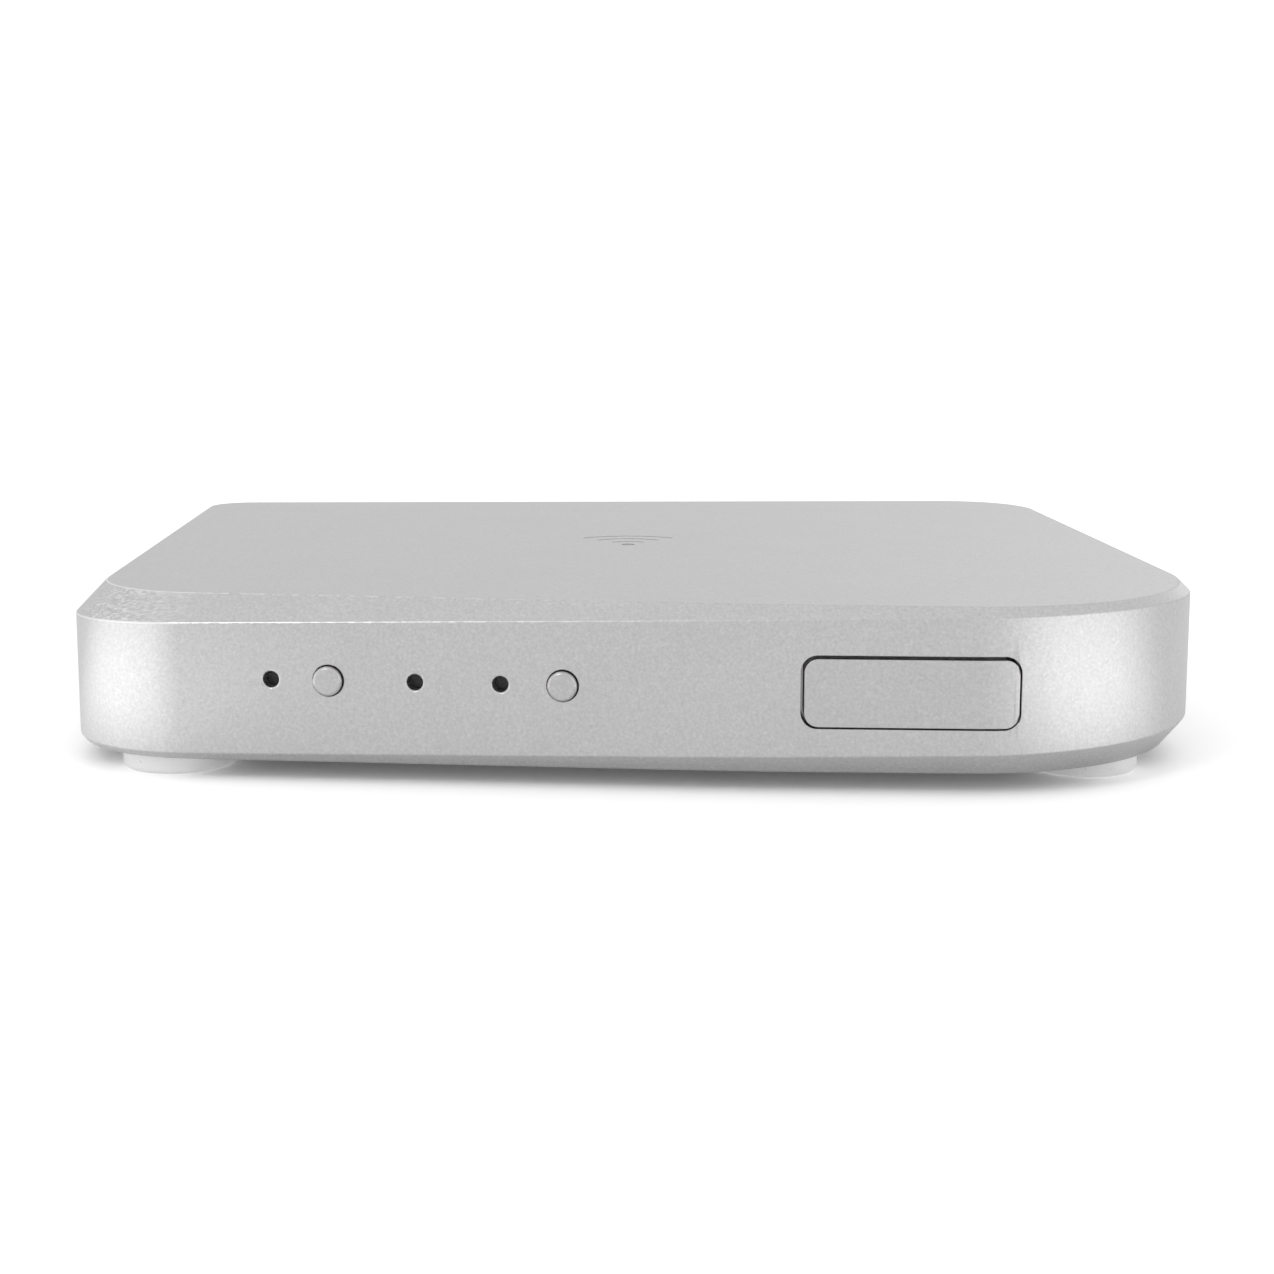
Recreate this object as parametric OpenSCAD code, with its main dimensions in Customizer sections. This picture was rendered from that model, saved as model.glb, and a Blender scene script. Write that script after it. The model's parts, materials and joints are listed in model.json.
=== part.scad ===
// Bluetooth audio receiver: a low machined aluminium box with two round buttons, three status
// pinholes and one wide flush key on its front, and its sockets on the rear.
// Millimetres, +Z up. The origin lies on the surface it rests on, under the middle of the
// overall box, with the sockets that stand out of the rear.
// The front faces -Y. The plan has five rounded corners, counted counter-clockwise from the
// front left: front left, front bend, front right, rear right, rear left.

/* [Plan] */
// Distance between the two front corners before rounding
front_w = 130.2; // [129:0.1:131]
// Depth from the front right corner to the rear wall
body_d = 117.7; // [117:0.1:119]
// How far the front left corner sits behind the front right one
front_rake = 12.5; // [12:0.1:13]
// Distance of the front's bend from the front left corner
bend_x = 75.9; // [75.5:0.1:76.4]
// How far the front's bend stands in front of the front left corner
bend_y = 9.2; // [8.8:0.1:9.6]
// How far the left side runs outwards on its way to the rear
left_lean = 7.5; // [7:0.1:8]
// How far the right side runs inwards on its way to the rear
right_lean = 1.6; // [1.2:0.1:2]
// Rounding of the front left corner
front_left_r = 17.5; // [16:0.1:18]
// Rounding of the front's bend
bend_r = 300; // [240:10:300]
// Rounding of the front right corner
front_right_r = 27.5; // [26.5:0.1:28.5]
// Rounding of the rear right corner
rear_right_r = 16.6; // [15.5:0.1:17]
// Rounding of the rear left corner
rear_left_r = 12; // [11:0.5:13]

/* [Body] */
// Height of the metal body without its feet
body_h = 18.5; // [18.4:0.1:19]
// Depth of the top chamfer at the middle of the front
top_chamfer = 1.75; // [1.7:0.05:1.9]
// Depth of the bottom chamfer at the middle of the front
bottom_chamfer = 1.65; // [1.55:0.05:1.75]
// Inset of the bottom chamfer for each millimetre of its depth
bottom_slope = 0.83; // [0.76:0.01:0.84]
// Roll of the wall band between the chamfers, in degrees, raised to the right
band_roll = 1.07; // [0.95:0.01:1.15]
// Fall of the top chamfer's edge towards the rear, in degrees
top_fall = 1.9; // [1.6:0.05:2]
// Rise of the bottom chamfer's edge towards the rear, in degrees
bottom_rise = 0.35; // [0.1:0.05:0.4]
// Thickness of the side walls
wall = 4.4; // [4.3:0.1:4.6]
// Thickness of the top
top_t = 2.4; // [2.2:0.1:2.6]
// Thickness of the base plate
plate_t = 2; // [1.8:0.1:2.2]
// Width of the rim left round the base plate
rim_w = 3.5; // [3.4:0.05:3.6]

/* [Front controls] */
// Height of the row of buttons and pinholes above the ground
control_z = 11.6; // [11.4:0.1:11.8]
// Distance of the first pinhole from the front left corner
row_start = 24.5; // [24.2:0.1:24.8]
// Radius of a status pinhole
pinhole_r = 0.85; // [0.7:0.05:0.9]
// Radius of a round button
button_r = 1.65; // [1.5:0.05:1.8]
// How far a round button stands out of the wall
button_proud = 0.75; // [0.5:0.05:0.9]
// Travel of a round button
button_travel = 0.4; // [0.3:0.05:0.4]
// Length of the wide key's opening
key_w = 23.6; // [22:0.1:24]
// Height of the wide key's opening
key_h = 8; // [7.4:0.1:8.2]
// Corner rounding of the wide key's opening
key_r = 1.8; // [1.4:0.1:2.2]
// Gap round the wide key
key_gap = 0.25; // [0.2:0.05:0.35]
// Distance of the wide key's middle from the front's bend
key_s = 18.3; // [18:0.1:18.6]

/* [Rear sockets] */
// Height of the sockets' middle above the ground
socket_z = 9.8; // [9.7:0.1:9.9]
// Distance between neighbouring sockets
socket_pitch = 17; // [16.5:0.1:17.2]
// Place of the power socket across the rear, from the body's middle
power_x = -50; // [-50.5:0.1:-49.5]
// Outer radius of a phono socket's sleeve
sleeve_r = 4.15; // [4.1:0.05:4.2]
// How far a phono socket's sleeve stands out of the rear
sleeve_len = 8.6; // [8:0.1:9.5]

/* [Feet] */
// Height of the feet under the body
foot_h = 2.2; // [2:0.1:2.4]
// Radius of a foot
foot_r = 6.4; // [5:0.1:6.6]

/* [Hidden] */
$fn = 72;

eps = 0.02;

// Plan corners before rounding, from the front left corner and the front right one's depth,
// and their radii
raw_corners = [
    [0, front_rake],
    [bend_x, front_rake - bend_y],
    [front_w, 0],
    [front_w - right_lean, body_d],
    [-left_lean, body_d]
];
radii = [front_left_r, bend_r, front_right_r, rear_right_r, rear_left_r];
side_ids = [for (i = [0 : len(raw_corners) - 1]) i];
// Middle of the overall box, whose ends are the rounded corners and the rear sockets
box_middle = [
    (raw_centre(4)[0] - rear_left_r + raw_centre(2)[0] + front_right_r) / 2,
    (raw_centre(2)[1] - front_right_r + body_d + sleeve_len) / 2
];
corners = [for (c = raw_corners) c - box_middle];
front_y = -box_middle[1];
rear_y = body_d - box_middle[1];
// Middle of the body's own plan, from which inner parts are placed
plan_middle = [(front_w - left_lean) / 2, body_d / 2] - box_middle;
left_side = 0;
key_side = 1;

// Heights above the ground
body_z = foot_h;
plate_top = body_z + plate_t;
body_top = body_z + body_h;
ceiling = body_top - top_t;
board_t = 1.6;
board_top = ceiling - 2.2;
board_z = board_top - board_t;

// A corner rounder than this is a shallow bend of a side
long_arc_r = 50;
// Height of the chamfer cutters, which clears the deepest chamfer, and their overhang outside
// the outline
chamfer_reach = 7.5;
cut_margin = 2;
// The corner arcs stand this much outside the lines they round, so that each crosses its line
arc_lift = 0.01;

// Parts behind the front wall, as depths from the wall's outer face
flange_t = 0.85;
flange_gap = 0.05;
front_board_u = 9.4;
front_board_t = 1;
switch_t = 1.6;
switch_w = 4.5;
plunger_r = 0.9;
plunger_out = 0.6;
board_back = front_board_u + front_board_t;
switch_face = front_board_u - switch_t;
plunger_face = switch_face - plunger_out;
stem_r = 1.2;
button_bevel = 0.25;
boss_r = 2.3;
key_boss_r = 2;
boss_s = [16.4, 64.4];
// The key's right boss starts deeper, because the wall curves away from it there
key_boss_s = [1.8, 34.4];
key_boss_u = [wall - 1, wall + 1.6];
key_z = control_z - 0.2;
key_seat = 3.4;
// The key's cap hangs a little to the right and low in its opening
key_hang = [0.1, -0.1];
key_post_r = 1.2;
key_post_s = 8;

// Pin headers behind the left facet and behind the key, and the main board's front edge
header_pitch = 2.54;
header_s = [40.8, 13.5];
header_pins = [8, 4];
board_edge_u = 12.5;

// Pinholes and buttons along the left facet of the front
countersink = 0.2;
pinhole_s = [row_start, row_start + 16.2, row_start + 25.7];
button_s = [row_start + 6.5, row_start + 32.6];

// Rear sockets from the power socket rightwards across +X
supply_x = power_x + plan_middle[0];
optical_x = supply_x + socket_pitch;
phono_x = [for (i = [2 : 4]) supply_x + i * socket_pitch];
window_x = supply_x + 86;
window_w = 20;
window_h = 5;
window_z = socket_z + 0.6;
inner_rear = rear_y - wall;
aerial_back = inner_rear - 1.75;
lead_r = 0.55;
lead_bend = 2.6;
lead_run = 1;
lead_x = window_x - 6;
lead_y = inner_rear - 10.1;

// Socket housings stand between the base plate and the main board, against the rear wall
housing_w = 10;
housing_z = 5.2;
housing_front = inner_rear - 0.05;
housing_h = board_z - housing_z - 0.03;
housing_mid = housing_z + housing_h / 2;
contact_r = 2.2;
optical_w = 6.4;
optical_face = [8.8, 8.4];
optical_gap = 0.15;
nose_r = 4;
nose_gap = 0.1;
collar_r = sleeve_r + 0.3;
flap_pivot_y = rear_y - 1;
flap_pivot_z = socket_z + optical_w / 2 - 0.75;
flap_pin_r = 0.4;

// Engraved sign on the top
sign_place = plan_middle + [2.4, 3];
sign_r = 9;
sign_line = 0.6;
sign_depth = 0.1;
sign_dot_r = 0.9;
sign_spread = 80;

// Fasteners
screw_r = 1.25;
tap_r = 1.05;
head_r = 2.3;
foot_edge = 0.7;
pillar_r = 3;
board_boss_r = 2.6;
pillars = from_middle([
    [-51.5, -37], [11, -46.6], [54.3, -41], [56, 48], [-7.5, 50], [-59, 49.3]
]);
board_bosses = from_middle([[-48, -20], [44, -20], [50, 22], [-52, 24]]);
foot_places = from_middle([[-49.4, -39.4], [54.4, -41.4], [53.5, 45], [-56.5, 46.5]]);

function from_middle(places) = [for (p = places) p + plan_middle];
function unit(v) = v / norm(v);
function wrap(i) = (i + len(raw_corners)) % len(raw_corners);
function heading(i) = unit(raw_corners[wrap(i + 1)] - raw_corners[wrap(i)]);
function angle_of(v) = atan2(v[1], v[0]);
function turn(i) = (angle_of(heading(i)) - angle_of(heading(i - 1)) + 360) % 360;
function inward(i) = [-heading(i)[1], heading(i)[0]];
function run_off(i) = radii[wrap(i)] * tan(turn(wrap(i)) / 2);
function raw_centre(i) =
    raw_corners[i] - heading(i - 1) * run_off(i) + inward(i - 1) * radii[i];
function arc_centre(i) = raw_centre(i) - box_middle;
function corner_at(i, inset) = arc_centre(i) + (corners[i] - arc_centre(i)) * (1 - inset / radii[i]);
function arc_fn(i) = radii[i] > long_arc_r ? 720 : $fn;

// Plan of the body, shrunk by an inset
module plan(inset) {
    difference() {
        polygon([for (i = side_ids) corner_at(i, inset)]);
        for (i = side_ids)
            difference() {
                polygon([
                    arc_centre(i),
                    arc_centre(i) - inward(i - 1) * (radii[i] + cut_margin),
                    corner_at(i, -radii[i]),
                    arc_centre(i) - inward(i) * (radii[i] + cut_margin)
                ]);
                translate(arc_centre(i))
                    circle(r = radii[i] - inset + arc_lift, $fn = arc_fn(i));
            }
    }
}

module plan_slab(inset, low, high) {
    translate([0, 0, low])
        linear_extrude(height = high - low)
            plan(inset);
}

// Section of a chamfer cutter. It crosses the outline, at x = r, at height 0 and leans inwards
// by the slope as it goes on to its reach, upwards or downwards.
function cut_section(r, reach, slope, up) = [
    [r + cut_margin, -up * cut_margin / slope],
    [r + cut_margin, up * reach],
    [r - slope * reach, up * reach]
];

// Cutter that runs round the plan's outline. Each side's piece runs on to the corners.
module chamfer_cutter(inset, reach, slope, up) {
    for (i = side_ids) {
        translate(arc_centre(i))
            rotate([0, 0, angle_of(heading(i - 1)) - 90])
                rotate_extrude(angle = turn(i), $fn = arc_fn(i))
                    polygon(cut_section(radii[i] - inset + arc_lift, reach, slope, up));
        translate(corner_at(wrap(i + 1), inset))
            rotate([90, 0, angle_of(heading(i)) - 90])
                linear_extrude(height = norm(corner_at(wrap(i + 1), inset) - corner_at(i, inset)))
                    polygon(cut_section(0, reach, slope, up));
    }
}

// Tilts a chamfer cutter about the middle of the front, at height z
module tilted(z, pitch) {
    translate([0, front_y, z])
        rotate([pitch, -band_roll, 0])
            translate([0, -front_y, 0])
                children();
}

module outer_form() {
    difference() {
        plan_slab(0, body_z, body_top);
        tilted(body_top - top_chamfer, -top_fall)
            chamfer_cutter(0, chamfer_reach, 1, 1);
        tilted(body_z + bottom_chamfer, bottom_rise)
            chamfer_cutter(0, chamfer_reach, bottom_slope, -1);
    }
}

// The hollow keeps the top's thickness under the chamfer too
module hollow() {
    difference() {
        plan_slab(wall, plate_top - eps, ceiling);
        tilted(body_top - top_chamfer + wall - top_t * sqrt(2), -top_fall)
            chamfer_cutter(wall, chamfer_reach - wall + 1, 1, 1);
    }
}

// Local frame of a side: X runs along it, +Y points inwards and s is the distance from its corner
module on_side(i, s, z) {
    translate([corners[i][0], corners[i][1], 0])
        rotate([0, 0, angle_of(heading(i))])
            translate([s, 0, z])
                children();
}

// A round bar pointing inwards from depth a to depth b, and one pointing to the rear
module bar(r, a, b) {
    translate([0, a, 0])
        rotate([-90, 0, 0])
            cylinder(r = r, h = b - a);
}

module block(w, a, b, h) {
    translate([-w / 2, a, -h / 2])
        cube([w, b - a, h]);
}

// A rounded rectangle standing on its edge, from depth a to depth b
module rounded_slab(w, h, r, a, b) {
    translate([0, b, 0])
        rotate([90, 0, 0])
            linear_extrude(height = b - a)
                rounded_rect(w, h, r);
}

module rounded_rect(w, h, r) {
    square([w - 2 * r, h], center = true);
    square([w, h - 2 * r], center = true);
    for (x = [-1, 1], y = [-1, 1])
        translate([x * (w / 2 - r), y * (h / 2 - r)])
            circle(r = r);
}

// Generic sign on the top: a dot with three waves spreading from it
module wave_sign() {
    translate([sign_place[0], sign_place[1] - sign_r / 2, body_top - sign_depth]) {
        cylinder(r = sign_dot_r, h = 1);
        for (k = [1 : 3])
            rotate([0, 0, 90 - sign_spread / 2])
                rotate_extrude(angle = sign_spread)
                    translate([k * sign_r / 3, 0])
                        square([sign_line, 1]);
    }
}

module enclosure() {
    color([0.76, 0.76, 0.77])
        difference() {
            union() {
                difference() {
                    outer_form();
                    hollow();
                    plan_slab(rim_w, body_z - 1, plate_top);
                }
                for (p = pillars)
                    translate([p[0], p[1], plate_top])
                        cylinder(r = pillar_r, h = ceiling - plate_top + 0.5);
                for (p = board_bosses)
                    translate([p[0], p[1], board_top])
                        cylinder(r = board_boss_r, h = ceiling - board_top + 0.5);
                for (s = boss_s)
                    on_side(left_side, s, control_z)
                        bar(boss_r, wall - 1, front_board_u);
                for (k = [0, 1])
                    on_side(key_side, key_boss_s[k], control_z)
                        bar(key_boss_r, key_boss_u[k], front_board_u);
            }
            for (p = pillars)
                translate([p[0], p[1], plate_top - 1])
                    cylinder(r = tap_r, h = 9);
            for (p = board_bosses)
                translate([p[0], p[1], board_top - 1])
                    cylinder(r = tap_r, h = 4);
            front_board_holes(-1.1, tap_r - 0.25);
            for (s = pinhole_s)
                on_side(left_side, s, control_z)
                    pinhole();
            for (s = button_s)
                on_side(left_side, s, control_z)
                    bar(button_r + 0.1, -1, wall + 1);
            on_side(key_side, key_s, key_z) {
                rounded_slab(key_w, key_h, key_r, -cut_margin, wall + 1);
                block(key_w + 3, key_seat, front_board_u - 0.6, key_h + 2.4);
            }
            rear_openings();
            wave_sign();
        }
}

module pinhole() {
    bar(pinhole_r, -1, wall + 1);
    translate([0, -countersink, 0])
        rotate([-90, 0, 0])
            cylinder(r1 = pinhole_r + 2 * countersink, r2 = pinhole_r, h = 2 * countersink);
}

// Tapped holes behind the front boards, drilled towards the wall
module front_board_holes(past, r) {
    for (s = boss_s)
        on_side(left_side, s, control_z)
            bar(r, front_board_u - 5, front_board_u - past);
    for (s = key_boss_s)
        on_side(key_side, s, control_z)
            bar(r, front_board_u - 5, front_board_u - past);
}

module rear_openings() {
    translate([supply_x, inner_rear - 1, socket_z])
        bar(nose_r + nose_gap, 0, wall + 3);
    translate([optical_x, inner_rear, socket_z])
        block(optical_face[0] + 2 * optical_gap, -1, wall + 3, optical_face[1] + 2 * optical_gap);
    for (x = phono_x)
        translate([x, inner_rear, socket_z])
            bar(collar_r + optical_gap, -1, wall + 3);
    translate([window_x, inner_rear, window_z])
        rounded_slab(window_w, window_h, window_h / 2 - 0.1, -1, wall + 3);
}

module base_plate() {
    color([0.7, 0.7, 0.71])
        difference() {
            plan_slab(rim_w + 0.12, body_z, plate_top - 0.03);
            for (p = pillars)
                translate([p[0], p[1], 0]) {
                    cylinder(r = screw_r + 0.15, h = 10);
                    translate([0, 0, body_z - 0.01])
                        cylinder(r1 = head_r + 0.1, r2 = screw_r + 0.15, h = head_r - screw_r);
                }
        }
}

// Countersunk screws from below, with a hexagon socket
module base_screws() {
    color("silver")
        for (p = pillars)
            translate([p[0], p[1], body_z + 0.05])
                difference() {
                    union() {
                        cylinder(r1 = head_r, r2 = screw_r - 0.25, h = head_r - screw_r + 0.2);
                        cylinder(r = screw_r - 0.25, h = 7.4);
                    }
                    translate([0, 0, -1])
                        cylinder(r = 0.85, h = 2, $fn = 6);
                }
}

// Low clear stick-on bumpers with a softened lower edge, which hide the corner screws
module feet() {
    color([0.78, 0.79, 0.8, 0.6])
        for (p = foot_places)
            translate([p[0], p[1], 0])
                rotate_extrude() {
                    translate([0, foot_edge])
                        square([foot_r, body_z - eps - foot_edge]);
                    square([foot_r - foot_edge, foot_edge + eps]);
                    translate([foot_r - foot_edge, foot_edge])
                        intersection() {
                            circle(r = foot_edge);
                            translate([0, -foot_edge])
                                square([foot_edge, 2 * foot_edge]);
                        }
                }
}

// Moulded plug in the rear wall that lets the radio signal through
module radio_window() {
    color([0.1, 0.1, 0.11])
        translate([window_x, inner_rear, window_z]) {
            rounded_slab(window_w - 0.1, window_h - 0.1, window_h / 2 - 0.15, -0.5, wall - 0.1);
            block(window_w + 3, -1.3, -0.1, window_h + 2);
        }
}

// A cap with a bevelled edge, a flange that keeps it in the wall and a stem for its switch
module round_button() {
    bar(button_r, button_bevel - button_proud, wall + 1);
    translate([0, -button_proud, 0])
        rotate([-90, 0, 0])
            cylinder(r1 = button_r - button_bevel, r2 = button_r, h = button_bevel);
    bar(button_r + 0.9, wall + flange_gap, wall + flange_gap + flange_t);
    bar(stem_r, wall, plunger_face - flange_gap);
}

module power_button() {
    color([0.78, 0.78, 0.79])
        on_side(left_side, button_s[0], control_z)
            round_button();
}

module pairing_button() {
    color([0.78, 0.78, 0.79])
        on_side(left_side, button_s[1], control_z)
            round_button();
}

// The wide key's face is cut from the body's own plan, so it lies flush with the curved wall
module source_key() {
    color([0.74, 0.74, 0.75])
        union() {
            intersection() {
                plan_slab(0, plate_top, ceiling);
                on_side(key_side, key_s + key_hang[0], key_z + key_hang[1])
                    rounded_slab(key_w - 2 * key_gap, key_h - 2 * key_gap, key_r - key_gap,
                                 -cut_margin, key_seat + 0.5);
            }
            on_side(key_side, key_s, key_z) {
                block(key_w + 1.6, key_seat + flange_gap, key_seat + flange_gap + flange_t,
                      key_h + 1.2);
                bar(stem_r, key_seat + 0.5, plunger_face - flange_gap);
                for (x = [-1, 1])
                    translate([x * key_post_s, 0, 0])
                        bar(key_post_r, key_seat + 0.5, front_board_u + front_board_t + 1);
            }
        }
}

// Clear pins that carry the light of the LEDs into the pinholes
module light_pipes() {
    color([0.25, 0.27, 0.3, 0.6])
        for (s = pinhole_s)
            on_side(left_side, s, control_z) {
                bar(pinhole_r - 0.03, 1.6, wall + 0.5);
                bar(pinhole_r + 0.7, wall + 0.03, wall + 0.9);
                bar(pinhole_r + 0.3, wall + 0.5, front_board_u - 1.05);
            }
}

module status_leds() {
    color([0.95, 0.93, 0.85])
        for (s = pinhole_s)
            on_side(left_side, s, control_z)
                block(1.6, front_board_u - 0.9, front_board_u - eps, 1);
}

// Upright board behind the left facet of the front
module control_board() {
    color([0.05, 0.25, 0.14])
        difference() {
            on_side(left_side, (boss_s[0] + boss_s[1]) / 2, control_z)
                block(boss_s[1] - boss_s[0] + 5.4, front_board_u + eps, board_back, 10);
            front_board_holes(-3, screw_r - 0.1);
        }
}

// Upright board behind the wide key, whose posts slide in its two guide holes
module key_board() {
    color([0.05, 0.25, 0.14])
        difference() {
            on_side(key_side, (key_boss_s[0] + key_boss_s[1]) / 2, control_z)
                block(key_boss_s[1] - key_boss_s[0] + 4, front_board_u + eps, board_back, 9);
            front_board_holes(-3, screw_r - 0.1);
            for (x = [-1, 1])
                on_side(key_side, key_s + x * key_post_s, key_z)
                    bar(key_post_r + 0.06, front_board_u - 1, board_back + 1);
        }
}

module pan_screw(len, r, head) {
    difference() {
        union() {
            cylinder(r = r, h = len);
            translate([0, 0, -1])
                cylinder(r = head, h = 1);
        }
        translate([0, 0, -1.5])
            cylinder(r = head * 0.42, h = 1.1, $fn = 6);
    }
}

module front_board_screws() {
    color("silver") {
        for (s = boss_s)
            on_side(left_side, s, control_z)
                front_screw();
        for (s = key_boss_s)
            on_side(key_side, s, control_z)
                front_screw();
    }
}

module front_screw() {
    translate([0, board_back + 0.03, 0])
        rotate([90, 0, 0])
            pan_screw(5, tap_r - 0.3, 1.7);
}

// Square tact switches with a bore for the plunger
module switch_bodies() {
    color([0.12, 0.12, 0.13]) {
        for (s = button_s)
            on_side(left_side, s, control_z)
                switch_body();
        on_side(key_side, key_s, key_z)
            switch_body();
    }
}

module switch_body() {
    difference() {
        block(switch_w, switch_face, front_board_u - eps, switch_w);
        bar(plunger_r + 0.05, switch_face - 1, front_board_u - 0.2);
    }
}

module plunger() {
    bar(plunger_r, plunger_face, front_board_u - 0.2 - button_travel - 0.1);
}

module power_plunger() {
    color([0.75, 0.73, 0.68])
        on_side(left_side, button_s[0], control_z)
            plunger();
}

module pairing_plunger() {
    color([0.75, 0.73, 0.68])
        on_side(left_side, button_s[1], control_z)
            plunger();
}

module key_plunger() {
    color([0.75, 0.73, 0.68])
        on_side(key_side, key_s, key_z)
            plunger();
}

// Place of a pin header that joins an upright board to the main board
module on_header(k) {
    on_side(k == 0 ? left_side : key_side, header_s[k], board_z - 1.3)
        children();
}

module link_headers() {
    color([0.1, 0.1, 0.1])
        for (k = [0, 1])
            on_header(k)
                difference() {
                    block(header_pins[k] * header_pitch, board_edge_u + 0.3, board_edge_u + 2.8, 2.5);
                    header_row(k, 0.7, board_edge_u, board_edge_u + 3);
                }
}

module header_row(k, w, a, b) {
    for (j = [0 : header_pins[k] - 1])
        translate([(j - (header_pins[k] - 1) / 2) * header_pitch, 0, 0])
            block(w, a, b, w);
}

module link_pins() {
    color([0.85, 0.7, 0.35])
        for (k = [0, 1])
            on_header(k)
                header_row(k, 0.64, board_back + 0.02, board_edge_u + 4.2);
}

// Main board, hung from the ceiling with its parts facing down
module main_board() {
    color([0.05, 0.25, 0.14])
        difference() {
            plan_slab(8.2, board_z, board_top - 0.02);
            for (i = [left_side, key_side])
                on_side(i, 30, board_z)
                    block(200, -40, board_edge_u, 20);
            for (p = pillars)
                translate([p[0], p[1], 0])
                    cylinder(r = pillar_r + 0.6, h = 30);
            for (p = board_bosses)
                translate([p[0], p[1], 0])
                    cylinder(r = screw_r + 0.15, h = 30);
        }
}

module board_screws() {
    color("silver")
        for (p = board_bosses)
            translate([p[0], p[1], board_z - 0.03])
                pan_screw(4, tap_r - 0.05, head_r);
}

// A part on the underside of the main board, placed from the plan's middle, with its top just
// clear of the board
module under_board(x, y, drop) {
    translate([plan_middle[0] + x, plan_middle[1] + y, board_z - eps - drop])
        children();
}

module box_at(w, d, h) {
    translate([-w / 2, -d / 2, 0])
        cube([w, d, h]);
}

module radio_module() {
    color([0.04, 0.16, 0.3])
        under_board(34, 33, 1)
            box_at(15, 24, 1);
}

module radio_shield() {
    color([0.72, 0.72, 0.7])
        under_board(34, 30, 3.3)
            difference() {
                box_at(13, 16, 2.28);
                translate([0, 0, 0.3])
                    box_at(12.4, 15.4, 3);
            }
}

// Flat aerial stuck behind the radio window
module antenna() {
    color([0.8, 0.55, 0.25])
        translate([window_x, aerial_back, window_z])
            block(18, 0, 0.35, 5.6);
}

// Thin coaxial lead that runs from the radio module to the aerial in an S
module antenna_lead() {
    color([0.15, 0.15, 0.16])
        translate([lead_x, lead_y, board_z - eps - 1 - lead_r - 0.05]) {
            bar(lead_r, -2, 0);
            translate([lead_bend, 0, 0])
                lead_arc(90);
            translate([lead_bend, lead_bend, 0])
                rotate([0, 90, 0])
                    cylinder(r = lead_r, h = lead_run);
            translate([lead_bend + lead_run, 2 * lead_bend, 0])
                lead_arc(270);
            translate([2 * lead_bend + lead_run, 0, 0])
                bar(lead_r, 2 * lead_bend, aerial_back - lead_y - eps);
        }
}

module lead_arc(from) {
    rotate([0, 0, from])
        rotate_extrude(angle = 90)
            translate([lead_bend, 0])
                circle(r = lead_r);
}

// A chip with a row of legs along its two long sides
module leaded_chip(w, d, h, legs) {
    difference() {
        box_at(w, d, h);
        translate([w / 2 - 0.8, d / 2 - 0.8, -0.1])
            cylinder(r = 0.35, h = 0.2);
    }
    pitch = w / legs;
    for (j = [0 : legs - 1])
        translate([(j + 0.5) * pitch - w / 2, 0, h - 0.35])
            box_at(pitch * 0.4, d + 2, 0.35);
}

module converter_chip() {
    color([0.08, 0.08, 0.09])
        under_board(-14, 4, 1.9)
            leaded_chip(10, 5.4, 1.9, 14);
}

module line_drivers() {
    color([0.08, 0.08, 0.09])
        for (x = [-12, 8])
            under_board(x, 24, 1.6)
                leaded_chip(5, 4, 1.6, 4);
}

module regulators() {
    color([0.08, 0.08, 0.09])
        for (y = [-8, 8])
            under_board(-42, y, 1.7)
                leaded_chip(6.5, 3.6, 1.7, 3);
}

// Surface-mount electrolytic capacitors: a can on a square base
module filter_capacitors() {
    color([0.7, 0.7, 0.72])
        for (x = [-24, 0, 24], y = [-18, 14])
            under_board(x, y, 6.8) {
                cylinder(r = 3.15, h = 6);
                translate([0, 0, 5.6])
                    box_at(6.6, 6.6, 1.2);
            }
}

module inductors() {
    color([0.22, 0.22, 0.23])
        for (y = [-2, 36])
            under_board(-30, y, 3)
                difference() {
                    box_at(6, 6, 3);
                    translate([0, 0, -0.1])
                        rotate_extrude()
                            translate([1.9, 0])
                                square([0.5, 0.4]);
                }
}

module crystals() {
    color([0.8, 0.79, 0.74])
        for (y = [-4, 6])
            under_board(2, y, 1.2)
                box_at(5, 3.2, 1.2);
}

// Small surface-mount passives in short rows
module chip_passives() {
    color([0.62, 0.52, 0.4])
        for (x = [-24 : 6 : 18], y = [-27, -9, 19.2, 30])
            under_board(x, y, 0.8)
                box_at(1.6, 0.8, 0.8);
}

// Phono sockets
module phono_housings() {
    color([0.1, 0.1, 0.1])
        for (x = phono_x)
            translate([x, 0, 0])
                difference() {
                    translate([0, 0, housing_mid])
                        block(housing_w, housing_front - 10, housing_front, housing_h);
                    translate([0, 0, socket_z])
                        bar(collar_r + eps, housing_front - 8.5, housing_front + 1);
                }
}

// Threadless metal sleeve with a collar where it leaves the wall
module phono_sleeves() {
    color([0.85, 0.72, 0.4])
        for (x = phono_x)
            translate([x, 0, socket_z])
                difference() {
                    union() {
                        bar(sleeve_r, rear_y, rear_y + sleeve_len);
                        bar(collar_r, housing_front - 8.4, rear_y);
                    }
                    bar(3.6, housing_front - 9, rear_y + sleeve_len + 1);
                }
}

module phono_insulator(x) {
    translate([x, 0, socket_z])
        difference() {
            bar(3.55, housing_front - 8.4, rear_y + sleeve_len - 1);
            bar(contact_r + 0.02, housing_front - 9, rear_y + sleeve_len);
        }
}

module left_insulator() {
    color([0.9, 0.9, 0.88])
        phono_insulator(phono_x[1]);
}

module right_insulator() {
    color([0.75, 0.08, 0.08])
        phono_insulator(phono_x[2]);
}

module coax_insulator() {
    color([0.9, 0.42, 0.08])
        phono_insulator(phono_x[0]);
}

module phono_contacts() {
    color([0.85, 0.72, 0.4])
        for (x = phono_x)
            translate([x, 0, socket_z])
                difference() {
                    bar(contact_r, housing_front - 8.3, rear_y + 2);
                    bar(1.65, rear_y - 7.5, rear_y + 3);
                }
}

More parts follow.
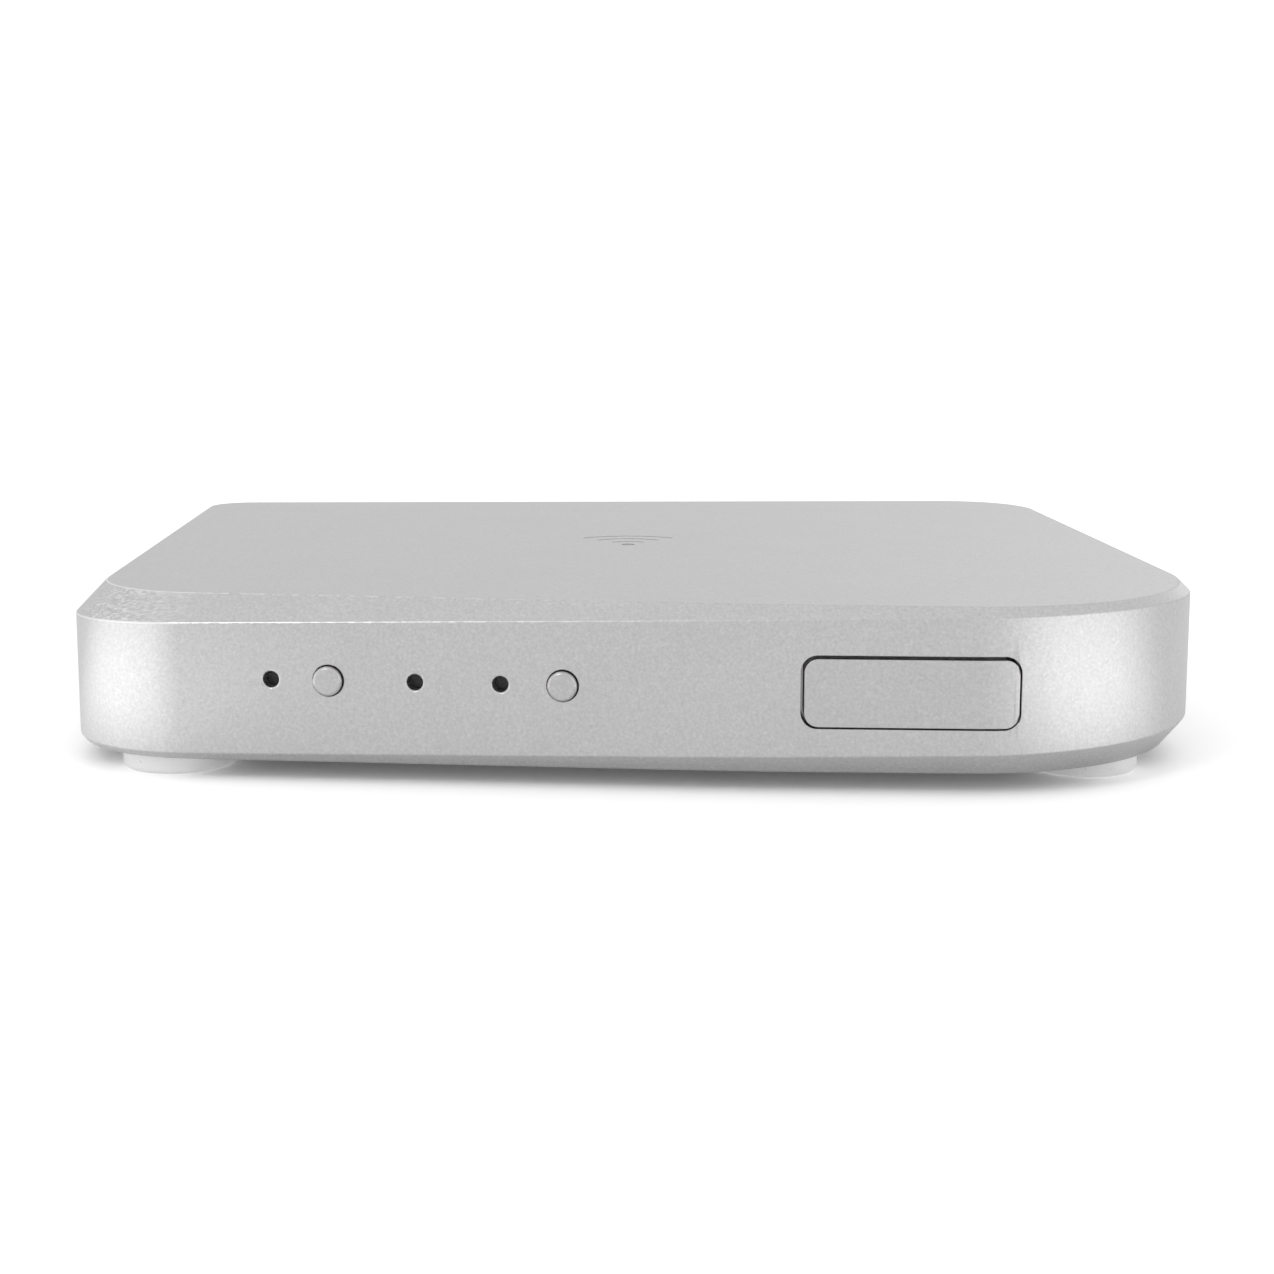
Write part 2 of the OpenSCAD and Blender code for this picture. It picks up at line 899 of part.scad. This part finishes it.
// Barrel socket for the plug-in supply
module power_socket() {
    color([0.1, 0.1, 0.1])
        translate([supply_x, 0, 0])
            difference() {
                union() {
                    translate([0, 0, housing_mid])
                        block(9.4, housing_front - 11, housing_front, housing_h);
                    translate([0, 0, socket_z])
                        bar(nose_r, housing_front - 1, rear_y - 0.1);
                }
                translate([0, 0, socket_z])
                    bar(2.8, housing_front - 9, rear_y + 1);
            }
}

module power_pin() {
    color([0.8, 0.8, 0.8])
        translate([supply_x, 0, socket_z]) {
            bar(1, housing_front - 8.97, rear_y - 1.2);
            translate([0, rear_y - 1.2, 0])
                rotate([-90, 0, 0])
                    cylinder(r1 = 1, r2 = 0.6, h = 0.4);
        }
}

// Square optical socket with a dust flap hinged along its upper edge
module optical_housing() {
    color([0.1, 0.1, 0.1])
        translate([optical_x, 0, 0])
            difference() {
                union() {
                    translate([0, 0, housing_mid])
                        block(10, housing_front - 11, housing_front, housing_h);
                    translate([0, 0, socket_z])
                        block(optical_face[0], housing_front - 1, rear_y - 0.1, optical_face[1]);
                }
                translate([0, 0, socket_z])
                    block(optical_w, housing_front - 8, rear_y + 1, optical_w);
                translate([-4, flap_pivot_y, flap_pivot_z])
                    rotate([0, 90, 0])
                        cylinder(r = flap_pin_r + 0.05, h = 8);
                translate([0, 0, socket_z])
                    bar(1, housing_front - 10, housing_front - 7);
            }
}

module optical_flap() {
    flap_w = optical_w - 0.3;
    color([0.16, 0.16, 0.17])
        translate([optical_x, flap_pivot_y, flap_pivot_z]) {
            translate([-3.9, 0, 0])
                rotate([0, 90, 0])
                    cylinder(r = flap_pin_r, h = 7.8);
            translate([-flap_w / 2, 0, 0])
                rotate([0, 90, 0])
                    cylinder(r = 0.6, h = flap_w);
            translate([-flap_w / 2, -0.4, -optical_w + 0.95])
                cube([flap_w, 0.8, optical_w - 0.95]);
        }
}

module optical_lens() {
    color([0.7, 0.15, 0.12])
        translate([optical_x, 0, socket_z])
            bar(0.97, housing_front - 9.97, housing_front - 8.4);
}

enclosure();
base_plate();
base_screws();
feet();
radio_window();
power_button();
pairing_button();
source_key();
light_pipes();
status_leds();
control_board();
key_board();
front_board_screws();
switch_bodies();
power_plunger();
pairing_plunger();
key_plunger();
link_headers();
link_pins();
main_board();
board_screws();
radio_module();
radio_shield();
antenna();
antenna_lead();
converter_chip();
line_drivers();
regulators();
filter_capacitors();
inductors();
crystals();
chip_passives();
phono_housings();
phono_sleeves();
left_insulator();
right_insulator();
coax_insulator();
phono_contacts();
power_socket();
power_pin();
optical_housing();
optical_flap();
optical_lens();
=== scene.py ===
import json
import math

import bpy
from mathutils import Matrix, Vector


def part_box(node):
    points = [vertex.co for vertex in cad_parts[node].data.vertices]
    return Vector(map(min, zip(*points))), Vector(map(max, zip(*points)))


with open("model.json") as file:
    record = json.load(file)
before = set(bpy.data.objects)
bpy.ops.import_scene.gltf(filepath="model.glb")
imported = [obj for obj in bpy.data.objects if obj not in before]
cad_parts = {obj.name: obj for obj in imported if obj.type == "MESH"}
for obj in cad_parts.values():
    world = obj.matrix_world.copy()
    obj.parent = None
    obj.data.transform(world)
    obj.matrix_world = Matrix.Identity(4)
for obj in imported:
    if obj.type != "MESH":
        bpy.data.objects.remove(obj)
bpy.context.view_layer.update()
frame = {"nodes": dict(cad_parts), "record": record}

MM = 0.001
shell_low, shell_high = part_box("enclosure")
LEFT, FRONT = shell_low.x / MM, shell_low.y / MM
RIGHT, MIDDLE_Z = shell_high.x / MM, (shell_low.z + shell_high.z) / 2 / MM


# ---------------------------------------------------------------- node materials

class Surface:
    """A principled material whose maps are worked out from places in the shared frame, in millimetres"""

    def __init__(self, name, colour, roughness, metallic=0.0, **inputs):
        self.material = bpy.data.materials.new(name)
        self.material.use_nodes = True
        self.tree = self.material.node_tree
        self.shader = self.tree.nodes["Principled BSDF"]
        where = self.add("ShaderNodeTexCoord").outputs["Object"]
        self.place = self.vector("SCALE", where, scale=1 / MM)
        self.set("Base Color", (*colour, 1))
        self.set("Roughness", roughness)
        self.set("Metallic", metallic)
        for key, value in inputs.items():
            self.set(key.replace("_", " "), value)

    def add(self, kind, **settings):
        node = self.tree.nodes.new(kind)
        for key, value in settings.items():
            setattr(node, key, value)
        return node

    def plug(self, socket, value):
        if isinstance(value, bpy.types.NodeSocket):
            self.tree.links.new(value, socket)
        else:
            socket.default_value = value

    def set(self, name, value):
        self.plug(self.shader.inputs[name], value)

    def vector(self, operation, a, b=None, scale=None):
        node = self.add("ShaderNodeVectorMath", operation=operation)
        self.plug(node.inputs[0], a)
        if b is not None:
            self.plug(node.inputs[1], b)
        if scale is not None:
            self.plug(node.inputs["Scale"], scale)
        return node.outputs[0]

    def math(self, operation, a, b):
        node = self.add("ShaderNodeMath", operation=operation)
        self.plug(node.inputs[0], a)
        self.plug(node.inputs[1], b)
        return node.outputs[0]

    def product(self, *values):
        total = values[0]
        for value in values[1:]:
            total = self.math("MULTIPLY", total, value)
        return total

    def split(self, vector):
        """The three parts of a vector"""
        node = self.add("ShaderNodeSeparateXYZ")
        self.plug(node.inputs[0], vector)
        return tuple(node.outputs)

    def span(self, value, low, high, start=0.0, end=1.0):
        """value, from start..end, spread over low..high"""
        node = self.add("ShaderNodeMapRange")
        for key, item in zip(("Value", "From Min", "From Max", "To Min", "To Max"),
                             (value, start, end, low, high)):
            self.plug(node.inputs[key], item)
        return node.outputs[0]

    def mix(self, factor, a, b, blend="MIX"):
        node = self.add("ShaderNodeMix", data_type="RGBA", blend_type=blend)
        self.plug(node.inputs["Factor"], factor)
        for key, colour in (("A", a), ("B", b)):
            socket = next(s for s in node.inputs if s.name == key and s.type == "RGBA")
            self.plug(socket, (*colour, 1) if isinstance(colour, tuple) else colour)
        return next(s for s in node.outputs if s.type == "RGBA")

    def stretched(self, stretch):
        return self.vector("MULTIPLY", self.place, tuple(1 / s for s in stretch))

    def noise(self, size, detail=2.0, stretch=(1, 1, 1), seed=0.0):
        """Soft noise around 0.5, whose lumps are about size millimetres"""
        node = self.add("ShaderNodeTexNoise", noise_dimensions="4D")
        self.plug(node.inputs["Vector"], self.stretched(stretch))
        self.plug(node.inputs["W"], seed)
        self.plug(node.inputs["Scale"], 1 / size)
        self.plug(node.inputs["Detail"], detail)
        return node.outputs["Fac"]

    def cells(self, size, output="Distance", stretch=(1, 1, 1)):
        node = self.add("ShaderNodeTexVoronoi")
        self.plug(node.inputs["Vector"], self.stretched(stretch))
        self.plug(node.inputs["Scale"], 1 / size)
        return node.outputs[output]

    def bump(self, height, depth, strength):
        """Relief of depth millimetres between heights 0 and 1"""
        node = self.add("ShaderNodeBump")
        self.plug(node.inputs["Height"], height)
        self.plug(node.inputs["Distance"], depth * MM)
        self.plug(node.inputs["Strength"], strength)
        return node.outputs["Normal"]

    def shade(self, base, amount, *maps):
        """base made lighter and darker by up to amount where the maps stray from 0.5"""
        total = maps[0]
        for item in maps[1:]:
            total = self.math("ADD", total, item)
        total = self.span(total, 1 - amount, 1 + amount, 0.2 * len(maps), 0.8 * len(maps))
        return self.vector("SCALE", base, scale=total)


# white for the bare tool marks and for the painted edge highlight
BARE_METAL_AND_GLINT = (1.0, 1.0, 1.0)


def blasted_aluminium(name, colour, roughness, streaks=False, painted_glint=False):
    """Bead-blasted metal: fine pits and a faint sparkle. Streaks are tool marks on the chamfer of the front
    left corner, and a painted highlight whitens the metal towards that corner, standing in for edge glints"""
    s = Surface(name, colour, roughness, metallic=1.0)
    x, y, z = s.split(s.place)
    grain = s.noise(0.32, detail=3.0)
    cloud = s.noise(9.0, detail=3.0, seed=2.0)
    fleck, pit, _ = s.split(s.cells(0.26, "Color"))
    tone = s.shade(s.shade(colour, 0.02, cloud), 0.13, grain)
    tone = s.mix(s.product(s.math("POWER", fleck, 6.0), 0.14), tone, (0.95, 0.95, 0.95))
    height = s.math("ADD", s.product(grain, 0.7), s.product(pit, 0.3))
    rough = s.span(s.noise(0.6, seed=5.0), roughness - 0.01, roughness + 0.03, 0.3, 0.7)
    if streaks:
        rise = s.split(s.add("ShaderNodeNewGeometry").outputs["Normal"])[2]
        on_chamfer = s.product(s.span(rise, 0, 1, 0.45, 0.6), s.span(rise, 1, 0, 0.8, 0.95))
        in_corner = s.product(s.span(x, 0, 1, LEFT + 6, LEFT + 9), s.span(x, 1, 0, LEFT + 14, LEFT + 24),
                              s.span(y, 1, 0, FRONT + 16, FRONT + 26))
        marks = s.span(s.noise(0.17, detail=3.0, stretch=(12, 2, 1), seed=7.0), 0, 0.6, 0.44, 0.64)
        tone = s.mix(s.product(on_chamfer, in_corner, marks), tone, BARE_METAL_AND_GLINT)
    # painted highlight: the metal is whitened towards the upper left corner, in dots further along, where
    # edge glints fall
    if painted_glint:
        glint_area = s.product(s.span(x, 0.75, 0, LEFT + 18, LEFT + 83),
                               s.span(z, 0, 1, MIDDLE_Z - 2, MIDDLE_Z + 2))
        patchy = s.span(s.noise(0.8, detail=2.0, seed=9.0), 0, 1, 0.44, 0.58)
        tone = s.mix(s.product(glint_area, s.span(x, 1, patchy, LEFT + 18, LEFT + 24)), tone, BARE_METAL_AND_GLINT)
        rough = s.math("ADD", rough, s.span(x, 0, 0.2, LEFT + 38, LEFT + 88))
    s.set("Base Color", tone)
    s.set("Roughness", rough)
    s.set("Normal", s.bump(height, 0.010, 0.5))
    return s.material


def brushed_metal(name, colour, roughness, stretch):
    """Metal with fine lines along the axis that is stretched most"""
    s = Surface(name, colour, roughness, metallic=1.0)
    lines = s.noise(0.12, detail=3.0, stretch=stretch)
    s.set("Base Color", s.shade(colour, 0.10, lines, s.noise(4.0, seed=3.0)))
    s.set("Roughness", s.span(lines, roughness - 0.08, roughness + 0.08, 0.3, 0.7))
    s.set("Normal", s.bump(lines, 0.006, 0.5))
    return s.material


def plated_metal(name, colour, roughness):
    """Smooth plating with slight stains and scuffs"""
    s = Surface(name, colour, roughness, metallic=1.0)
    stain = s.noise(1.6, detail=4.0)
    scuff = s.noise(0.2, detail=2.0, stretch=(1, 6, 1), seed=4.0)
    s.set("Base Color", s.shade(colour, 0.10, stain))
    wear = s.math("ADD", stain, scuff)
    s.set("Roughness", s.span(wear, roughness - 0.05, roughness + 0.12, 0.7, 1.3))
    s.set("Normal", s.bump(scuff, 0.004, 0.4))
    return s.material


def moulded_plastic(name, colour, roughness, grain=0.25, depth=0.01):
    """Plastic with the fine texture of its mould"""
    s = Surface(name, colour, roughness)
    texture = s.noise(grain, detail=3.0)
    cloud = s.noise(5.0, detail=2.0, seed=1.0)
    s.set("Base Color", s.shade(colour, 0.14, texture, cloud))
    s.set("Roughness", s.span(texture, roughness - 0.06, roughness + 0.08, 0.3, 0.7))
    s.set("Normal", s.bump(texture, depth, 0.6))
    return s.material


def clear_plastic(name, colour, roughness, ior=1.45, clearness=0.85, painted_glow=0.0):
    """Clear or smoky plastic with a little haze in it, and a painted glow that stands in for light scattered
    inside it
    """
    s = Surface(name, colour, roughness, IOR=ior, Transmission_Weight=clearness, Emission_Strength=painted_glow)
    haze = s.noise(0.8, detail=3.0)
    s.set("Base Color", s.shade(colour, 0.06, haze))
    s.set("Roughness", s.span(haze, roughness - 0.04, roughness + 0.10, 0.3, 0.7))
    s.set("Normal", s.bump(s.noise(0.5, seed=3.0), 0.01, 0.25))
    return s.material


def circuit_board(name, mask, copper):
    """Solder mask over copper tracks"""
    s = Surface(name, mask, 0.32)
    track = s.cells(2.4, "Distance", stretch=(1.6, 1, 1))
    edge = s.span(track, 1, 0, 0.42, 0.5)
    s.set("Base Color", s.shade(s.mix(edge, mask, copper), 0.08, s.noise(0.5)))
    s.set("Roughness", s.span(s.noise(0.7, seed=2.0), 0.26, 0.42, 0.3, 0.7))
    s.set("Normal", s.bump(edge, 0.03, 0.6))
    return s.material


ALUMINIUM = (0.62, 0.615, 0.62)
looks = {
    # edge look: a painted highlight whitens the rounded edges towards the upper left
    "edge": blasted_aluminium("edge_look", ALUMINIUM, 0.29, painted_glint=True),
    "body_shell": blasted_aluminium("body_shell_look", ALUMINIUM, 0.29, streaks=True),
    "buttons": blasted_aluminium("button_look", (0.59, 0.582, 0.584), 0.29),
    "key": blasted_aluminium("key_look", (0.60, 0.595, 0.60), 0.29),
    "base": brushed_metal("base_look", (0.55, 0.55, 0.56), 0.38, (1, 40, 1)),
    "screws": brushed_metal("screw_look", (0.5, 0.5, 0.51), 0.3, (1, 1, 8)),
    # the feet glow faintly: a painted glow that lightens them in the shade under the body
    "foot": clear_plastic("foot_look", (0.97, 0.97, 0.97), 0.3, ior=1.41, clearness=0.3, painted_glow=0.1),
    "window": moulded_plastic("window_look", (0.018, 0.018, 0.02), 0.45),
    "pipe": clear_plastic("pipe_look", (0.02, 0.022, 0.026), 0.2, ior=1.49),
    "led": moulded_plastic("led_look", (0.85, 0.82, 0.7), 0.3, grain=0.4, depth=0.004),
    "board": circuit_board("board_look", (0.008, 0.06, 0.025), (0.02, 0.12, 0.05)),
    "blue_board": circuit_board("blue_board_look", (0.008, 0.03, 0.09), (0.02, 0.06, 0.16)),
    "black_plastic": moulded_plastic("black_plastic_look", (0.02, 0.02, 0.021), 0.42),
    "plunger": moulded_plastic("plunger_look", (0.7, 0.66, 0.55), 0.4, grain=0.3, depth=0.004),
    "gold": plated_metal("gold_look", (0.83, 0.62, 0.25), 0.2),
    "copper": plated_metal("copper_look", (0.72, 0.4, 0.2), 0.3),
    "tinned": plated_metal("tinned_look", (0.6, 0.6, 0.58), 0.35),
    "nickel": plated_metal("nickel_look", (0.7, 0.69, 0.67), 0.16),
    "crystal": brushed_metal("crystal_look", (0.62, 0.61, 0.57), 0.3, (6, 1, 1)),
    "can": brushed_metal("can_look", (0.62, 0.62, 0.64), 0.26, (1, 1, 10)),
    "lead": moulded_plastic("lead_look", (0.03, 0.03, 0.032), 0.5, grain=0.5, depth=0.006),
    "chip": moulded_plastic("chip_look", (0.025, 0.025, 0.027), 0.55, grain=0.12, depth=0.008),
    "ferrite": moulded_plastic("ferrite_look", (0.06, 0.06, 0.062), 0.65, grain=0.2, depth=0.02),
    "ceramic": moulded_plastic("ceramic_look", (0.35, 0.25, 0.15), 0.45, grain=0.15, depth=0.006),
    "white_plastic": moulded_plastic("white_plastic_look", (0.8, 0.8, 0.77), 0.3, depth=0.005),
    "red_plastic": moulded_plastic("red_plastic_look", (0.5, 0.015, 0.015), 0.3, depth=0.005),
    "orange_plastic": moulded_plastic("orange_plastic_look", (0.78, 0.17, 0.015), 0.3, depth=0.005),
    "flap": moulded_plastic("flap_look", (0.035, 0.035, 0.038), 0.4),
    "lens": clear_plastic("lens_look", (0.6, 0.05, 0.04), 0.1, ior=1.5),
}

for part in frame["record"]["subparts"]:
    mesh = frame["nodes"][part["node"]].data
    mesh.materials.clear()
    mesh.materials.append(looks[part["material_slot"]])


# ---------------------------------------------------------------- softened edges

SHARP = math.radians(20)
NEARLY_FLAT = math.radians(0.3)
SAME_PLACE = 0.002 * MM
SIGN_REACH = 10.5 * MM


def sharp_edges(keep_out, reach):
    """A modifier group that marks the sharp edges for a bevel to follow, apart from those round keep_out"""
    group = bpy.data.node_groups.new("sharp_edges", "GeometryNodeTree")
    for side in ("INPUT", "OUTPUT"):
        group.interface.new_socket("Geometry", in_out=side, socket_type="NodeSocketGeometry")

    def add(kind, **settings):
        node = group.nodes.new(kind)
        for key, value in settings.items():
            setattr(node, key, value)
        return node

    def more_than(value, limit):
        node = add("ShaderNodeMath", operation="GREATER_THAN")
        group.links.new(value, node.inputs[0])
        node.inputs[1].default_value = limit
        return node.outputs[0]

    away = add("ShaderNodeVectorMath", operation="DISTANCE")
    away.inputs[1].default_value = keep_out
    group.links.new(add("GeometryNodeInputPosition").outputs[0], away.inputs[0])
    chosen = add("ShaderNodeMath", operation="MULTIPLY")
    angle = add("GeometryNodeInputMeshEdgeAngle").outputs["Unsigned Angle"]
    group.links.new(more_than(angle, SHARP), chosen.inputs[0])
    group.links.new(more_than(away.outputs["Value"], reach), chosen.inputs[1])

    smooth = add("GeometryNodeSetShadeSmooth")
    store = add("GeometryNodeStoreNamedAttribute", domain="EDGE", data_type="FLOAT")
    store.inputs["Name"].default_value = "bevel_weight_edge"
    group.links.new(chosen.outputs[0], store.inputs["Value"])
    group.links.new(add("NodeGroupInput").outputs[0], smooth.inputs["Geometry"])
    group.links.new(smooth.outputs[0], store.inputs["Geometry"])
    group.links.new(store.outputs[0], add("NodeGroupOutput").inputs[0])
    return group


def soften(node, radius, painted_glint=False, keep_out=(0, 0, 0), reach=0.0):
    """Rounds a CAD node's sharp edges by a small radius, in millimetres, and may give them a painted
    highlight
    """
    obj = frame["nodes"][node]
    obj.modifiers.new("join_faces", "WELD").merge_threshold = SAME_PLACE
    flat = obj.modifiers.new("clean_flats", "DECIMATE")
    flat.decimate_type = "DISSOLVE"
    flat.angle_limit = NEARLY_FLAT
    obj.modifiers.new("mark_edges", "NODES").node_group = sharp_edges(keep_out, reach)
    bevel = obj.modifiers.new("round_edges", "BEVEL")
    bevel.width = radius * MM
    bevel.segments = 2
    bevel.limit_method = "WEIGHT"
    bevel.use_clamp_overlap = False
    # the rounded edges take the edge look, whose whitening is a painted highlight
    if painted_glint:
        obj.data.materials.append(looks["edge"])
        bevel.material = 1
    obj.modifiers.new("even_shading", "WEIGHTED_NORMAL").weight = 100


sign_place = Vector(((shell_low.x + shell_high.x) / 2 + 2.2 * MM, (shell_low.y + shell_high.y) / 2 + 2.1 * MM,
                     shell_high.z))
soften("enclosure", 0.12, painted_glint=True, keep_out=sign_place, reach=SIGN_REACH)
for node in ("source_key", "power_button", "pairing_button"):
    soften(node, 0.12)
for node in ("base_plate", "radio_window"):
    soften(node, 0.1)


# ---------------------------------------------------------------- stage, light and camera

OVEREXPOSED = (1.3, 1.3, 1.3)
SHADOW_LIFT = 0.06
PATCH_LIGHT = 0.85


def stage_material():
    """White card, a little overexposed for the camera, with lit patches that only the metal reflects"""
    s = Surface("stage_look", (0.9, 0.9, 0.9), 0.7)
    paper = s.noise(6.0, detail=4.0)

    def lit_patch(x, y, reach):
        away = s.vector("DISTANCE", s.place, (x, y, 0)).node.outputs["Value"]
        return s.span(away, 1, 0, reach / 2, reach)

    s.set("Roughness", s.span(paper, 0.65, 0.75, 0.3, 0.7))
    s.set("Specular IOR Level", 0.2)
    seen = s.add("ShaderNodeLightPath").outputs["Is Camera Ray"]
    white = s.shade((0.93, 0.93, 0.93), 0.01, paper)
    s.set("Base Color", s.mix(seen, white, OVEREXPOSED))
    patches = s.math("ADD", lit_patch(LEFT - 67, FRONT - 10, 85), lit_patch(RIGHT + 60, FRONT - 46, 80))
    s.set("Emission Color", (1, 1, 1, 1))
    s.set("Emission Strength", s.span(seen, s.product(patches, PATCH_LIGHT), SHADOW_LIFT))
    return s.material


def pale_floor():
    """Plain floor, whose far edge is lost against the white sky"""
    reach, steps = 3.0, 64
    turns = [2 * math.pi * i / steps for i in range(steps)]
    ring = [(reach * math.cos(turn), reach * math.sin(turn), 0) for turn in turns]
    mesh = bpy.data.meshes.new("floor")
    mesh.from_pydata(ring, [], [list(range(steps))])
    mesh.materials.append(stage_material())
    floor = bpy.data.objects.new("floor", mesh)
    bpy.context.scene.collection.objects.link(floor)


def softbox(name, place, target, size, power):
    """A rectangular lamp at place, aimed at target"""
    data = bpy.data.lights.new(name, "AREA")
    data.shape = "RECTANGLE"
    data.size, data.size_y = size
    data.energy = power
    lamp = bpy.data.objects.new(name, data)
    lamp.location = place
    aim = Vector(target) - Vector(place)
    lamp.rotation_mode = "QUATERNION"
    lamp.rotation_quaternion = aim.to_track_quat("-Z", "Y")
    bpy.context.scene.collection.objects.link(lamp)


def studio_world(low_level, high_level, panels):
    """A light tent: level near the floor and overhead, and upright panels (azimuth from the front towards
    the left, half width, gain)"""
    world = bpy.data.worlds.new("studio")
    bpy.context.scene.world = world
    world.use_nodes = True
    tree = world.node_tree
    sky = tree.nodes["Background"]
    sky.inputs["Color"].default_value = (1, 1, 1, 1)

    def calc(operation, a, b=0.0):
        node = tree.nodes.new("ShaderNodeMath")
        node.operation = operation
        for socket, value in zip(node.inputs, (a, b)):
            if isinstance(value, bpy.types.NodeSocket):
                tree.links.new(value, socket)
            else:
                socket.default_value = value
        return node.outputs[0]

    facing = tree.nodes.new("ShaderNodeTexCoord").outputs["Generated"]
    split = tree.nodes.new("ShaderNodeSeparateXYZ")
    tree.links.new(facing, split.inputs[0])
    x, y, z = split.outputs
    turn = calc("ARCTAN2", calc("MULTIPLY", x, -1), calc("MULTIPLY", y, -1))
    height = calc("MAXIMUM", z, 0)
    total = calc("ADD", calc("MULTIPLY", height, high_level - low_level), low_level)
    upright = calc("POWER", calc("SUBTRACT", 1, calc("MULTIPLY", height, height)), 2)
    for azimuth, width, gain in panels:
        off = calc("SUBTRACT", turn, math.radians(azimuth))
        near = calc("POWER", calc("MAXIMUM", calc("COSINE", off), 0), (90 / width) ** 2)
        total = calc("ADD", total, calc("MULTIPLY", calc("MULTIPLY", near, upright), gain))
    seen = tree.nodes.new("ShaderNodeLightPath")
    final = tree.nodes.new("ShaderNodeMix")
    tree.links.new(seen.outputs["Is Camera Ray"], final.inputs["Factor"])
    tree.links.new(total, final.inputs["A"])
    final.inputs["B"].default_value = 1.2
    tree.links.new(final.outputs["Result"], sky.inputs["Strength"])


def camera(aside, distance, height, down, right, lens):
    """A camera aside of the middle, in front of the body and above the floor by so many millimetres, turned
    down and to the right by so many degrees"""
    eye = Vector(((LEFT + RIGHT) / 2 + aside, FRONT - distance, height)) * MM
    down, right = math.radians(down), math.radians(right)
    ahead = Vector((math.sin(right) * math.cos(down), math.cos(right) * math.cos(down), -math.sin(down)))
    data = bpy.data.cameras.new("camera")
    data.sensor_width = 36
    data.lens = lens
    data.clip_start = 0.01
    data.clip_end = 20
    obj = bpy.data.objects.new("camera", data)
    obj.rotation_mode = "QUATERNION"
    obj.rotation_quaternion = ahead.to_track_quat("-Z", "Y")
    obj.location = eye
    bpy.context.scene.collection.objects.link(obj)
    bpy.context.scene.camera = obj


pale_floor()
left_panel, right_panel, rear_panel = (76, 34, 0.5), (-60, 34, 0.4), (-150, 20, 0.3)
studio_world(low_level=0.72, high_level=0.86, panels=(left_panel, right_panel, rear_panel))
softbox("key_light", place=(-0.30, -0.42, 0.50), target=(0, -0.06, 0.01), size=(0.12, 0.12), power=0.32)
camera(aside=2.5, distance=227.6, height=55.6, down=9.47, right=0.17, lens=61.24)
bpy.context.scene.view_settings.view_transform = "Standard"
